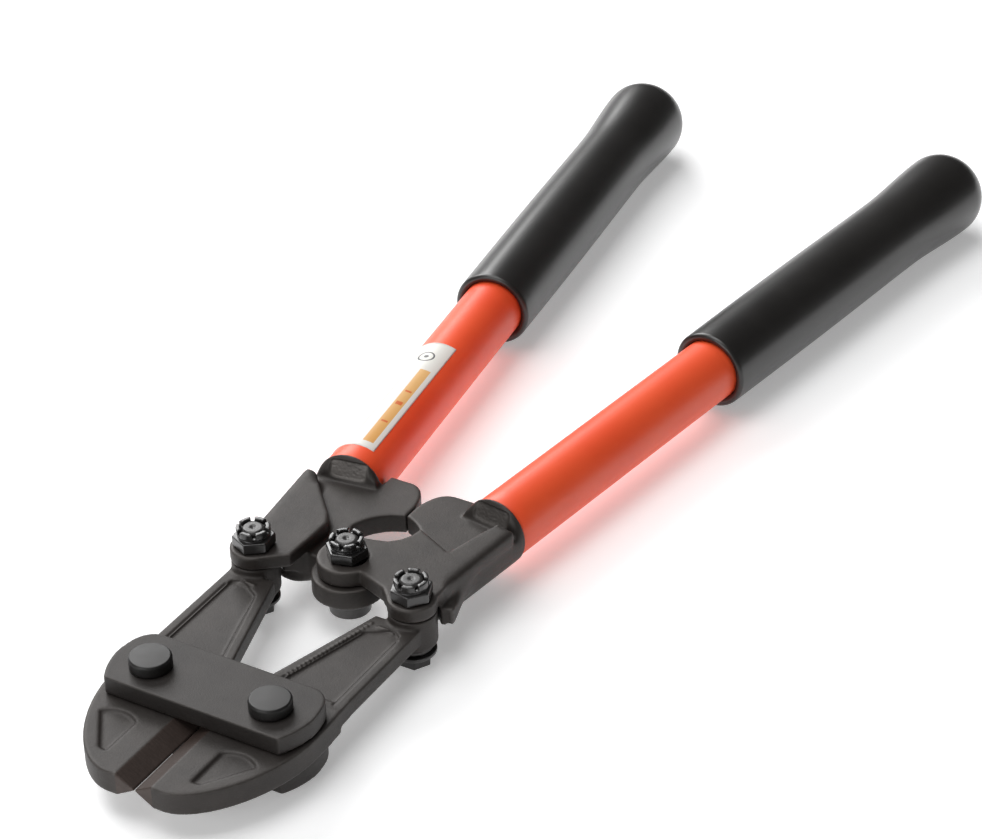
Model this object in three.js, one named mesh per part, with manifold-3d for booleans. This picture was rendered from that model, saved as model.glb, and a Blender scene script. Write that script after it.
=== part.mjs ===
// Compound-lever bolt cutters, closed and lying flat, built in millimetres.
// X runs from the jaws back to the grips, Y runs across (left is +Y) and Z is up.
// Z = 0 is the surface that the tool lies on. Everything is laid out from the line through the
// two jaw bolts, and the finished group is moved so that X = 0 is the middle of its length.
import * as THREE from 'three';
import { mergeVertices } from 'three/addons/utils/BufferGeometryUtils.js';
import Module from 'manifold-3d';

const wasm = await Module();
wasm.setup();

// ---- Driving dimensions ----------------------------------------------------

// Clearances
const FACE_GAP = 0.3;            // between faces that rest on or slide over each other
const BORE_GAP = 0.3;            // radial, between a bolt and the bore that it turns in

// Pivot layout in plan
const JAW_PIVOT_Y = 21.8;        // half the distance between the two jaw bolts
const HANDLE_PIVOT_X = 67.5;     // where each jaw tail meets its handle
const HANDLE_PIVOT_Y = 29.5;
const CENTRE_PIVOT_X = 76.5;     // where the two handles meet
const HANDLE_ANGLE = THREE.MathUtils.degToRad(7.5);   // each handle from the centre line

// Heights of the stack at the jaw bolts
const JAW_HEAD_HEIGHT = 4.2;
const LOWER_COLLAR_HEIGHT = 2.3;
const STRAP_THICKNESS = 6.3;
const JAW_THICKNESS = 8;
const TAIL_THICKNESS = 6;          // the tail is thinner, and set towards the jaw's upper face

// Jaws
const BLADE_FRONT = 40.5;        // from the jaw bolts forward to the nose
const EDGE_GAP = 0.3;            // between the two closed cutting edges
const BEVEL_WIDTH = 6.4;         // ground bevel on each side of a cutting edge
const BEVEL_LAND = 0.5;          // flat left along the cutting edge itself
const JAW_OUTER_Y = 35.6;        // outer edge of the jaw's tail
const JAW_CHEEK_Y = 36.6;        // widest point, beside the jaw bolt
const RELIEF_DEPTH = 0.9;        // sunk panels in the jaw's faces
const RIM_WIDTH = 4;             // raised rim round the sunk panels
const TAIL_INNER_Y = 6.6;        // inner edge of the jaw where it leaves the straps
const TAIL_BOSS_RADIUS = 7.8;
const TAIL_BOSS_RISE = 2.3;        // above the jaw's upper face
const TAIL_BOSS_HEIGHT = 12;

// Straps that carry the jaw bolts
const STRAP_BACK = 15;
const STRAP_FRONT = 11;
const STRAP_HALF_LENGTH = 35.8;
const STRAP_FRONT_HALF_LENGTH = 31.6;
const JAW_BOLT_RADIUS = 5;
const JAW_HEAD_RADIUS = 6.75;
const LOWER_COLLAR_RADIUS = 7.4;

// Handle pivot bolts and their slotted lock nuts
const PIVOT_BOLT_RADIUS = 3.8;
const NUT_ACROSS_FLATS = 12.2;
const NUT_HEX_HEIGHT = 3.6;
const NUT_CROWN_RADIUS = 5;
const NUT_CROWN_HEIGHT = 3.2;
const NUT_SLOTS = 6;
const NUT_SLOT_WIDTH = 1.6;
const BOLT_FLANGE_RADIUS = 7.3;
const BOLT_FLANGE_HEIGHT = 2;
const BOLT_HEX_ACROSS_FLATS = 10;
const BOLT_HEX_HEIGHT = 3.3;
const CENTRE_HEAD_RADIUS = 6.8;    // the centre bolt has a round head
const SPACER_THICKNESS = 1.5;
const SPACER_RADIUS = 6.2;

// Handle forgings
const EAR_THICKNESS = 4.9;
const EAR_RADIUS = 8;
const PLATE_THICKNESS = 7;       // lower plate with the centre boss and the stop lug
const LOWER_BOSS_RADIUS = 12;
const UPPER_BOSS_RADIUS = 10;
const CENTRE_FLOAT = 1.7;        // extra radius of the hole that the centre bolt floats in
const BOSS_ROOM = 3;             // round the lower boss, which shifts a little as the tool opens
const COLLAR_STEP = 0.7;         // the forging's collar stands this far outside the tube
const AXIS_INSET = 8.34;         // handle axis inboard of the handle pivot
const BODY_START = 13;           // along the handle axis, from beside the handle pivot
const RAMP_START = 50;           // foot of the steep ramp up to the collar's crown
const COLLAR_END = 54;
const TANG_LENGTH = 30;          // spigot that the tube is pressed on
const SHOULDER_RADIUS = 12.6;
const LUG_GAP = 0.3;             // between the two stop lugs when the jaws are closed

// Tubes, grips and label
const TUBE_RADIUS = 11.1;
const TUBE_WALL = 1.8;
const TUBE_LENGTH = 262;
const GRIP_START = 174;          // along the handle axis, from beside the handle pivot
const GRIP_LENGTH = 169.5;
const GRIP_WALL = 3;
const GRIP_BULB_SWELL = 1.8;
const GRIP_END_WALL = 12;
const LABEL_LENGTH = 69;
const LABEL_START = 61;
const LABEL_MIDDLE = THREE.MathUtils.degToRad(70);    // leans outboard of the tube's top
const LABEL_WRAP = THREE.MathUtils.degToRad(100);
const LABEL_THICKNESS = 0.25;
const LABEL_GAP = 0.06;

const ROUND = 56;                // facets on large round features
const SMALL_ROUND = 28;          // facets on bolts and bores

// ---- Radii and heights worked out from those above ------------------------------

const BODY_RADIUS = TUBE_RADIUS + COLLAR_STEP;
const GRIP_RADIUS = TUBE_RADIUS + GRIP_WALL;
const GRIP_BULB_RADIUS = GRIP_RADIUS + GRIP_BULB_SWELL;

const LOWER_STRAP_Z = LOWER_COLLAR_HEIGHT + FACE_GAP;
const JAW_Z = LOWER_STRAP_Z + STRAP_THICKNESS + FACE_GAP;
const JAW_TOP = JAW_Z + JAW_THICKNESS;
const TAIL_Z = JAW_TOP - 0.2 - TAIL_THICKNESS;
const UPPER_STRAP_Z = JAW_TOP + FACE_GAP;
const JAW_HEAD_Z = UPPER_STRAP_Z + STRAP_THICKNESS;
const TAIL_BOSS_TOP = JAW_TOP + TAIL_BOSS_RISE;
const TAIL_BOSS_Z = TAIL_BOSS_TOP - TAIL_BOSS_HEIGHT;
const EAR_Z = TAIL_BOSS_TOP + FACE_GAP;
const EAR_TOP = EAR_Z + EAR_THICKNESS;
const UPPER_PLATE_Z = EAR_TOP - EAR_THICKNESS - 0.8;
const LOWER_PLATE_TOP = UPPER_PLATE_Z - FACE_GAP;
const LOWER_PLATE_Z = LOWER_PLATE_TOP - PLATE_THICKNESS;
const HANDLE_AXIS_Z = GRIP_BULB_RADIUS;
const TUBE_INNER_RADIUS = TUBE_RADIUS - TUBE_WALL;

// ---- Modelling helpers ------------------------------------------------------

// A closed manifold solid from a three.js geometry
function solid(geometry) {
  const bare = geometry.index ? geometry.toNonIndexed() : geometry.clone();
  bare.deleteAttribute('normal');
  bare.deleteAttribute('uv');
  const merged = mergeVertices(bare, 1e-4);
  const corners = [];
  const index = merged.index.array;
  for (let i = 0; i < index.length; i += 3) {
    const [a, b, c] = [index[i], index[i + 1], index[i + 2]];
    if (a !== b && b !== c && c !== a) corners.push(a, b, c);
  }
  return new wasm.Manifold(new wasm.Mesh({
    numProp: 3,
    vertProperties: new Float32Array(merged.attributes.position.array),
    triVerts: new Uint32Array(corners),
  }));
}

function geometryOf(body) {
  const mesh = body.getMesh();
  const geometry = new THREE.BufferGeometry();
  geometry.setAttribute('position', new THREE.BufferAttribute(mesh.vertProperties, 3));
  geometry.setIndex(new THREE.BufferAttribute(mesh.triVerts, 1));
  geometry.computeVertexNormals();
  return geometry;
}

// Stands a section up across the tool: its X goes to Y, its Y to Z and its depth to X
const SECTION_ALONG_X = new THREE.Matrix4().set(
  0, 0, 1, 0,
  1, 0, 0, 0,
  0, 1, 0, 0,
  0, 0, 0, 1,
);

// Upright prism of a plan outline between two heights
function prism(shape, low, high, curveSegments = 8) {
  const geometry = new THREE.ExtrudeGeometry(shape, {
    depth: high - low,
    bevelEnabled: false,
    curveSegments,
  });
  geometry.translate(0, 0, low);
  return solid(geometry);
}

function upright(x, y, low, high, radius, facets = SMALL_ROUND) {
  const geometry = new THREE.CylinderGeometry(radius, radius, high - low, facets);
  geometry.rotateX(Math.PI / 2);
  geometry.translate(x, y, (low + high) / 2);
  return solid(geometry);
}

// Upright turned body from a profile of [radius, height] pairs
function turned(x, y, profile, facets = SMALL_ROUND) {
  const points = profile.map(([radius, height]) => new THREE.Vector2(radius, height));
  const geometry = new THREE.LatheGeometry(points, facets);
  geometry.rotateX(Math.PI / 2);
  geometry.translate(x, y, 0);
  return solid(geometry);
}

function hexPrism(x, y, low, high, acrossFlats) {
  return upright(x, y, low, high, acrossFlats / Math.sqrt(3), 6);
}

// Closed outline through straight points, on the left (side 1) or the right (side -1)
function polygon(points, side) {
  const shape = new THREE.Shape();
  points.forEach(([x, y], i) => {
    if (i === 0) shape.moveTo(x, y * side);
    else shape.lineTo(x, y * side);
  });
  shape.closePath();
  return shape;
}

// A place given along a handle's axis and outboard of it
function onHandle(along, outboard) {
  const footX = HANDLE_PIVOT_X + AXIS_INSET * Math.sin(HANDLE_ANGLE);
  const footY = HANDLE_PIVOT_Y - AXIS_INSET * Math.cos(HANDLE_ANGLE);
  return [
    footX + along * Math.cos(HANDLE_ANGLE) - outboard * Math.sin(HANDLE_ANGLE),
    footY + along * Math.sin(HANDLE_ANGLE) + outboard * Math.cos(HANDLE_ANGLE),
  ];
}

// Body turned about a handle's axis from a profile of [radius, distance along] pairs
function turnedOnHandle(profile, side, facets = ROUND) {
  const points = profile.map(([radius, along]) => new THREE.Vector2(radius, along));
  const geometry = new THREE.LatheGeometry(points, facets);
  geometry.rotateZ(-Math.PI / 2);
  geometry.rotateZ(HANDLE_ANGLE * side);
  const [x, y] = onHandle(0, 0);
  geometry.translate(x, y * side, HANDLE_AXIS_Z);
  return solid(geometry);
}

function material(colour, roughness, metalness) {
  return new THREE.MeshStandardMaterial({ color: colour, roughness, metalness });
}

const tool = new THREE.Group();

function place(name, body, finish) {
  const mesh = new THREE.Mesh(geometryOf(body), finish());
  mesh.name = name;
  tool.add(mesh);
}

const forgedSteel = () => material(0x4b4846, 0.55, 0.6);
const blackOxide = () => material(0x2c2b2b, 0.35, 0.8);
const orangeCoat = () => material(0xe8542b, 0.45, 0);
const blackVinyl = () => material(0x1c1b1b, 0.3, 0);
const labelFilm = () => material(0xf2efe6, 0.5, 0);

// ---- Jaws ------------------------------------------------------------------------

// Plan of a jaw: convex nose and cheek, straight tail and the slanted inner edge behind the blade
function jawOutline(side) {
  const edgeY = EDGE_GAP / 2;
  const shape = new THREE.Shape();
  const tailX = HANDLE_PIVOT_X - 5;
  shape.moveTo(-BLADE_FRONT, edgeY * side);
  shape.lineTo(-BLADE_FRONT - 0.5, 10 * side);
  shape.bezierCurveTo(-41, 21.5 * side, -20, JAW_CHEEK_Y * side, 2, JAW_CHEEK_Y * side);
  shape.bezierCurveTo(12, JAW_CHEEK_Y * side, 16, JAW_OUTER_Y * side, 24, JAW_OUTER_Y * side);
  shape.lineTo(tailX, JAW_OUTER_Y * side);
  shape.lineTo(tailX, 19 * side);
  shape.lineTo(20, TAIL_INNER_Y * side);
  shape.lineTo(-2, edgeY * side);
  shape.closePath();
  return shape;
}

// Triangular pocket between the rim of the nose and the cutting pad
function nosePocket(side) {
  const shape = new THREE.Shape();
  shape.moveTo(-17.5, 15.3 * side);
  shape.lineTo(-33, 15.3 * side);
  shape.lineTo(-32.5, 18.2 * side);
  shape.lineTo(-18, 28.4 * side);
  shape.quadraticCurveTo(-12.6, 22 * side, -17.5, 15.3 * side);
  return shape;
}

// Long panel in the tail, inside the outer and the inner rims
function tailPanel(side) {
  const outerY = JAW_OUTER_Y - RIM_WIDTH;
  const innerStartY = TAIL_INNER_Y + RIM_WIDTH;
  return polygon([
    [19, innerStartY],
    [HANDLE_PIVOT_X - 14, 16.3 + RIM_WIDTH],
    [HANDLE_PIVOT_X - 9, outerY - 3],
    [HANDLE_PIVOT_X - 11, outerY],
    [19, outerY],
  ], side);
}

// Wedge that grinds one bevel, from the pad's edge down to the cutting edge
function bevelCut(side, up) {
  const middle = JAW_Z + JAW_THICKNESS / 2;
  const face = middle + up * (JAW_THICKNESS / 2 + 1);
  const land = middle + up * BEVEL_LAND / 2;
  const slope = (JAW_THICKNESS / 2 - BEVEL_LAND / 2) / BEVEL_WIDTH;
  const section = new THREE.Shape();
  section.moveTo(-side, land - up * slope);
  section.lineTo(side * (BEVEL_WIDTH + 1 / slope), face);
  section.lineTo(-side, face);
  section.closePath();
  const front = -BLADE_FRONT - 4;
  const back = -4;
  const geometry = new THREE.ExtrudeGeometry(section, { depth: back - front, bevelEnabled: false });
  geometry.applyMatrix4(SECTION_ALONG_X);
  geometry.translate(front, side * EDGE_GAP / 2, 0);
  return solid(geometry);
}

// Area behind the straps, where the jaw thins to its tail
const BEHIND_STRAPS = [[STRAP_BACK + 1, -5], [STRAP_BACK + 1, 60], [90, 60], [90, -5]];

function jaw(side) {
  const y = HANDLE_PIVOT_Y * side;
  const tailTop = TAIL_Z + TAIL_THICKNESS;
  let body = prism(jawOutline(side), JAW_Z, JAW_TOP, 20);
  body = body.subtract(prism(polygon(BEHIND_STRAPS, side), JAW_Z - 1, TAIL_Z));
  body = body.subtract(prism(polygon(BEHIND_STRAPS, side), tailTop, JAW_TOP + 1));
  body = body.add(turned(HANDLE_PIVOT_X, y, [
    [0, TAIL_BOSS_Z], [TAIL_BOSS_RADIUS - 0.8, TAIL_BOSS_Z], [TAIL_BOSS_RADIUS, TAIL_BOSS_Z + 0.8],
    [TAIL_BOSS_RADIUS, TAIL_BOSS_TOP], [0, TAIL_BOSS_TOP],
  ], ROUND));
  body = body.subtract(bevelCut(side, 1));
  body = body.subtract(bevelCut(side, -1));
  body = body.subtract(prism(nosePocket(side), JAW_TOP - RELIEF_DEPTH, JAW_TOP + 1));
  body = body.subtract(prism(nosePocket(side), JAW_Z - 1, JAW_Z + RELIEF_DEPTH));
  body = body.subtract(prism(tailPanel(side), tailTop - RELIEF_DEPTH, tailTop + 1));
  body = body.subtract(prism(tailPanel(side), TAIL_Z - 1, TAIL_Z + RELIEF_DEPTH));
  body = body.subtract(upright(0, JAW_PIVOT_Y * side, JAW_Z - 1, JAW_TOP + 1, JAW_BOLT_RADIUS + BORE_GAP));
  return body.subtract(
    upright(HANDLE_PIVOT_X, y, TAIL_BOSS_Z - 1, TAIL_BOSS_TOP + 1, PIVOT_BOLT_RADIUS + BORE_GAP));
}

place('jaw_left', jaw(1), forgedSteel);
place('jaw_right', jaw(-1), forgedSteel);

// ---- Straps, jaw bolts and collars ---------------------------------------------------

function strapOutline() {
  const end = STRAP_HALF_LENGTH;
  const front = STRAP_FRONT_HALF_LENGTH;
  const shape = new THREE.Shape();
  shape.moveTo(-STRAP_FRONT, front);
  shape.lineTo(-STRAP_FRONT, -front);
  shape.quadraticCurveTo(-6, -end + 0.9, 1, -end);
  shape.quadraticCurveTo(STRAP_BACK - 1.5, -end, STRAP_BACK, -end + 7);
  shape.lineTo(STRAP_BACK, end - 7);
  shape.quadraticCurveTo(STRAP_BACK - 1.5, end, 1, end);
  shape.quadraticCurveTo(-6, end - 0.9, -STRAP_FRONT, front);
  return shape;
}

function strap(low) {
  let body = prism(strapOutline(), low, low + STRAP_THICKNESS, 14);
  for (const side of [1, -1]) {
    const bore = JAW_BOLT_RADIUS + BORE_GAP;
    body = body.subtract(upright(0, JAW_PIVOT_Y * side, low - 1, low + STRAP_THICKNESS + 1, bore));
  }
  return body;
}

place('strap_upper', strap(UPPER_STRAP_Z), forgedSteel);
place('strap_lower', strap(LOWER_STRAP_Z), forgedSteel);

// Round-headed shouldered bolt, dropped in from above and held by a collar below
function jawBolt(side) {
  const head = JAW_HEAD_Z + FACE_GAP;
  const top = JAW_HEAD_Z + JAW_HEAD_HEIGHT;
  const thread = JAW_BOLT_RADIUS - 1;
  return turned(0, JAW_PIVOT_Y * side, [
    [0, 0.4], [thread - 0.6, 0.4], [thread, 1], [thread, LOWER_STRAP_Z - FACE_GAP / 2],
    [JAW_BOLT_RADIUS, LOWER_STRAP_Z - FACE_GAP / 2], [JAW_BOLT_RADIUS, head], [JAW_HEAD_RADIUS, head],
    [JAW_HEAD_RADIUS, top - 0.6], [JAW_HEAD_RADIUS - 0.6, top], [0, top],
  ], ROUND);
}

function jawBoltCollar(side) {
  const x = 0;
  const y = JAW_PIVOT_Y * side;
  const body = turned(x, y, [
    [0, 0], [LOWER_COLLAR_RADIUS - 0.6, 0], [LOWER_COLLAR_RADIUS, 0.6],
    [LOWER_COLLAR_RADIUS, LOWER_COLLAR_HEIGHT], [0, LOWER_COLLAR_HEIGHT],
  ], ROUND);
  return body.subtract(upright(x, y, -1, LOWER_COLLAR_HEIGHT + 1, JAW_BOLT_RADIUS - 1 + BORE_GAP));
}

for (const [name, side] of [['left', 1], ['right', -1]]) {
  place(`jaw_bolt_${name}`, jawBolt(side), blackOxide);
  place(`jaw_bolt_collar_${name}`, jawBoltCollar(side), blackOxide);
}

// ---- Handle forgings -----------------------------------------------------------------

// High part of the left forging: ear and the flat that runs back beside the collar
const LEFT_HIGH = [
  [59.9, 31.5], [61.5, 24.5], [68, 16.2], [89, 15.6], [94, 18.5], [108, 31.5], [113.5, 35.5],
  [114, 40], [80, 36.2], [67.5, 36.5],
];

// High part of the right forging: ear, arm to the centre boss with its hollow back edge, and the
// ridge beside the collar
const RIGHT_HIGH = [
  [59.9, 31.5], [61.5, 24.5], [67, 19], [71, 8], [74, -8.8], [82, -8], [87, -4], [88.3, 2.5],
  [89.6, 6.8], [92.4, 9.9], [96, 11.8], [100.5, 12.6], [93.5, 27], [115, 32.5], [114, 40],
  [80, 36.2], [67.5, 36.5],
];

// Room for the jaw's tail under the ear, ahead of the shoulder
const LEFT_TAIL_ROOM = [[50, 50], [50, 0], [78, 0], [78, 16], [70, 30], [69, 50]];
const RIGHT_TAIL_ROOM = [[50, 50], [50, 0], [72, 0], [72, 16], [70, 30], [69, 50]];

// Stop lug with its scalloped front edge and rounded heel
function lugOutline(side) {
  const y = (value) => value * side;
  const contact = LUG_GAP / 2;
  const shape = new THREE.Shape();
  shape.moveTo(117, y(contact));
  shape.lineTo(111.5, y(contact));
  shape.quadraticCurveTo(108.4, y(10), 98, y(12.6));
  shape.lineTo(90, y(16));
  shape.lineTo(95, y(26));
  shape.lineTo(118, y(26));
  shape.lineTo(120, y(16.8));
  shape.lineTo(128.8, y(16.4));
  shape.lineTo(128.8, y(8));
  shape.quadraticCurveTo(128, y(1.6), 117, y(contact));
  return shape;
}

// Neck that joins the left forging's centre boss to its lug and body
const LOWER_NECK = [
  [76.5, 11.8], [84, 17.6], [97, 23.5], [104, 18], [99, 12.4], [91, 10.6], [86, 6],
];

// Wedge above the ramp that falls from the collar's crown to the plate
function rampCut(side, flat) {
  const crown = HANDLE_AXIS_Z + BODY_RADIUS + 2;
  const section = new THREE.Shape();
  section.moveTo(-20, flat);
  section.lineTo(RAMP_START, flat);
  section.lineTo(COLLAR_END - 1.2, HANDLE_AXIS_Z + BODY_RADIUS - 0.4);
  section.lineTo(COLLAR_END - 1.2, crown);
  section.lineTo(-20, crown);
  section.closePath();
  const width = 60;
  const geometry = new THREE.ExtrudeGeometry(section, { depth: width, bevelEnabled: false });
  geometry.rotateX(Math.PI / 2);
  geometry.translate(0, width / 2, 0);
  geometry.rotateZ(HANDLE_ANGLE * side);
  const [x, y] = onHandle(0, 0);
  geometry.translate(x, y * side, 0);
  return solid(geometry);
}

// Round body on the handle axis with the spigot that carries the tube
function forgingBody(side) {
  const tang = TUBE_INNER_RADIUS;
  return turnedOnHandle([
    [0, BODY_START - 5], [BODY_RADIUS - 3, BODY_START - 5], [BODY_RADIUS, BODY_START],
    [BODY_RADIUS, COLLAR_END - 0.6], [BODY_RADIUS - 0.6, COLLAR_END], [tang, COLLAR_END],
    [tang, COLLAR_END + TANG_LENGTH - 1], [tang - 1, COLLAR_END + TANG_LENGTH],
    [0, COLLAR_END + TANG_LENGTH],
  ], side);
}

// Curved shoulder that backs the jaw's tail boss
function shoulder(side) {
  const y = HANDLE_PIVOT_Y * side;
  const low = TAIL_BOSS_Z + 5;
  const high = EAR_TOP - 2.6;
  const disc = turned(HANDLE_PIVOT_X, y, [
    [0, low], [SHOULDER_RADIUS - 2.5, low], [SHOULDER_RADIUS, low + 3], [SHOULDER_RADIUS, high - 3],
    [SHOULDER_RADIUS - 2.5, high], [0, high],
  ], ROUND);
  const sector = polygon([
    [HANDLE_PIVOT_X + 20, HANDLE_PIVOT_Y + 40], [HANDLE_PIVOT_X + 2, HANDLE_PIVOT_Y],
    [HANDLE_PIVOT_X + 12, HANDLE_PIVOT_Y - 14], [HANDLE_PIVOT_X + 40, HANDLE_PIVOT_Y - 14],
    [HANDLE_PIVOT_X + 40, HANDLE_PIVOT_Y + 40],
  ], side);
  return disc.intersect(prism(sector, low - 1, high + 1));
}

// Flank that carries the shoulder back into the round body
const FLANK = [[74, 30], [73.8, 40.2], [78, 39.7], [86, 37.4], [97, 36], [97, 28]];

function flank(side) {
  return prism(polygon(FLANK, side), TAIL_BOSS_Z + 5.5, EAR_TOP - 3);
}

// Stop lug, cleared where its heel runs back beside the tube
function stopLug(side) {
  const far = COLLAR_END + TANG_LENGTH;
  const room = TUBE_RADIUS + FACE_GAP;
  const tubeRoom = turnedOnHandle([[0, COLLAR_END], [room, COLLAR_END], [room, far], [0, far]], side);
  return prism(lugOutline(side), LOWER_PLATE_Z, LOWER_PLATE_TOP, 12).subtract(tubeRoom);
}

function boreCut(x, y, radius) {
  return upright(x, y, -5, EAR_TOP + 10, radius);
}

function forgingLeft() {
  const side = 1;
  const tailClear = TAIL_BOSS_RADIUS + 0.9;
  let body = forgingBody(side).add(shoulder(side)).add(flank(side));
  body = body.add(prism(polygon(LEFT_HIGH, side), EAR_Z - 8, EAR_TOP));
  body = body.subtract(rampCut(side, EAR_TOP));
  const highArea = prism(polygon(LEFT_HIGH, side), LOWER_PLATE_TOP - 1, EAR_TOP + 20);
  body = body.subtract(rampCut(side, LOWER_PLATE_TOP).subtract(highArea));
  body = body.subtract(upright(HANDLE_PIVOT_X, HANDLE_PIVOT_Y, -5, EAR_Z, tailClear, ROUND));
  body = body.subtract(prism(polygon(LEFT_TAIL_ROOM, side), -5, EAR_Z));
  body = body.add(upright(HANDLE_PIVOT_X, HANDLE_PIVOT_Y, EAR_Z, EAR_TOP, EAR_RADIUS, ROUND));
  const plate = upright(CENTRE_PIVOT_X, 0, LOWER_PLATE_Z, LOWER_PLATE_TOP, LOWER_BOSS_RADIUS, ROUND)
    .add(prism(polygon(LOWER_NECK, side), LOWER_PLATE_Z, LOWER_PLATE_TOP))
    .add(stopLug(side));
  body = body.add(plate);
  body = body.subtract(boreCut(HANDLE_PIVOT_X, HANDLE_PIVOT_Y, PIVOT_BOLT_RADIUS + BORE_GAP));
  return body.subtract(boreCut(CENTRE_PIVOT_X, 0, PIVOT_BOLT_RADIUS + BORE_GAP));
}

function forgingRight() {
  const side = -1;
  const tailClear = TAIL_BOSS_RADIUS + 0.9;
  let body = forgingBody(side).add(shoulder(side)).add(flank(side));
  const high = prism(polygon(RIGHT_HIGH, side), UPPER_PLATE_Z, EAR_TOP)
    .add(upright(CENTRE_PIVOT_X, 0, UPPER_PLATE_Z, EAR_TOP, UPPER_BOSS_RADIUS, ROUND));
  body = body.subtract(rampCut(side, EAR_TOP));
  const highArea = prism(polygon(RIGHT_HIGH, side), LOWER_PLATE_TOP - 1, EAR_TOP + 20);
  body = body.subtract(rampCut(side, LOWER_PLATE_TOP).subtract(highArea));
  body = body.add(stopLug(side));
  body = body.subtract(upright(CENTRE_PIVOT_X, 0, -5, UPPER_PLATE_Z, LOWER_BOSS_RADIUS + BOSS_ROOM, ROUND));
  body = body.add(high);
  body = body.subtract(upright(HANDLE_PIVOT_X, -HANDLE_PIVOT_Y, -5, EAR_Z, tailClear, ROUND));
  body = body.subtract(prism(polygon(RIGHT_TAIL_ROOM, side), -5, UPPER_PLATE_Z));
  body = body.add(upright(HANDLE_PIVOT_X, -HANDLE_PIVOT_Y, EAR_Z, EAR_TOP, EAR_RADIUS, ROUND));
  body = body.subtract(boreCut(HANDLE_PIVOT_X, -HANDLE_PIVOT_Y, PIVOT_BOLT_RADIUS + BORE_GAP));
  return body.subtract(boreCut(CENTRE_PIVOT_X + 0.4, -1.2, PIVOT_BOLT_RADIUS + CENTRE_FLOAT));
}

place('handle_forging_left', forgingLeft(), forgedSteel);
place('handle_forging_right', forgingRight(), forgedSteel);

// ---- Pivot bolts, spacers and slotted nuts --------------------------------------------------

function pivotBolt(x, y, headLow, underHead, top, roundHead = false) {
  const hexTop = underHead - BOLT_FLANGE_HEIGHT;
  const head = roundHead
    ? upright(x, y, headLow, hexTop, CENTRE_HEAD_RADIUS)
    : hexPrism(x, y, headLow, hexTop, BOLT_HEX_ACROSS_FLATS);
  return head.add(turned(x, y, [
    [0, hexTop - 0.01], [BOLT_FLANGE_RADIUS - 1, hexTop - 0.01], [BOLT_FLANGE_RADIUS, hexTop + 0.6],
    [BOLT_FLANGE_RADIUS, underHead], [PIVOT_BOLT_RADIUS, underHead], [PIVOT_BOLT_RADIUS, top - 0.6],
    [PIVOT_BOLT_RADIUS - 0.6, top], [0, top],
  ]));
}

function spacer(x, y, low) {
  const body = upright(x, y, low, low + SPACER_THICKNESS, SPACER_RADIUS);
  return body.subtract(upright(x, y, low - 1, low + SPACER_THICKNESS + 1, PIVOT_BOLT_RADIUS + BORE_GAP));
}

// Hexagon below, slotted crown above, with the bolt's end showing inside the crown
function slottedNut(x, y, low) {
  const hexTop = low + NUT_HEX_HEIGHT;
  const top = hexTop + NUT_CROWN_HEIGHT;
  const corner = NUT_ACROSS_FLATS / Math.sqrt(3);
  const chamfer = turned(x, y, [
    [0, low - 1], [corner + 0.2, low - 1], [corner + 0.2, hexTop - 1.2], [NUT_CROWN_RADIUS + 0.8, hexTop],
    [NUT_CROWN_RADIUS, hexTop], [NUT_CROWN_RADIUS, top - 0.8], [NUT_CROWN_RADIUS - 0.8, top], [0, top],
  ]);
  let body = hexPrism(x, y, low, top + 1, NUT_ACROSS_FLATS).intersect(chamfer);
  body = body.subtract(upright(x, y, low - 1, top + 1, PIVOT_BOLT_RADIUS + BORE_GAP));
  for (let i = 0; i < NUT_SLOTS / 2; i += 1) {
    const slot = new THREE.BoxGeometry(NUT_CROWN_RADIUS * 4, NUT_SLOT_WIDTH, NUT_CROWN_HEIGHT);
    slot.rotateZ((i * 2 * Math.PI) / NUT_SLOTS + Math.PI / 6);
    slot.translate(x, y, top - NUT_CROWN_HEIGHT / 2 + 1.2);
    body = body.subtract(solid(slot));
  }
  return body;
}

const NUT_Z = EAR_TOP + FACE_GAP;
const BOLT_TOP = NUT_Z + NUT_HEX_HEIGHT + NUT_CROWN_HEIGHT - 0.3;
const HANDLE_SPACER_Z = TAIL_BOSS_Z - FACE_GAP - SPACER_THICKNESS;
const CENTRE_SPACER_Z = LOWER_PLATE_Z - FACE_GAP - SPACER_THICKNESS;

for (const [name, side] of [['left', 1], ['right', -1]]) {
  const [x, y] = [HANDLE_PIVOT_X, HANDLE_PIVOT_Y * side];
  place(`handle_bolt_${name}`, pivotBolt(x, y, 0, HANDLE_SPACER_Z - FACE_GAP, BOLT_TOP), blackOxide);
  place(`handle_spacer_${name}`, spacer(x, y, HANDLE_SPACER_Z), blackOxide);
  place(`handle_nut_${name}`, slottedNut(x, y, NUT_Z), blackOxide);
}

const centreFlange = CENTRE_SPACER_Z - FACE_GAP;
const centreHead = centreFlange - BOLT_FLANGE_HEIGHT - BOLT_HEX_HEIGHT;
place('centre_bolt', pivotBolt(CENTRE_PIVOT_X, 0, centreHead, centreFlange, BOLT_TOP, true), blackOxide);
place('centre_spacer', spacer(CENTRE_PIVOT_X, 0, CENTRE_SPACER_Z), blackOxide);
place('centre_nut', slottedNut(CENTRE_PIVOT_X, 0, NUT_Z), blackOxide);

// ---- Tubes, grips and label -----------------------------------------------------------------

function tube(side) {
  const start = COLLAR_END + FACE_GAP;
  const inner = TUBE_INNER_RADIUS + BORE_GAP / 2;
  return turnedOnHandle([
    [inner, start], [TUBE_RADIUS, start], [TUBE_RADIUS, start + TUBE_LENGTH], [inner, start + TUBE_LENGTH],
    [inner, start],
  ], side);
}

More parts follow.
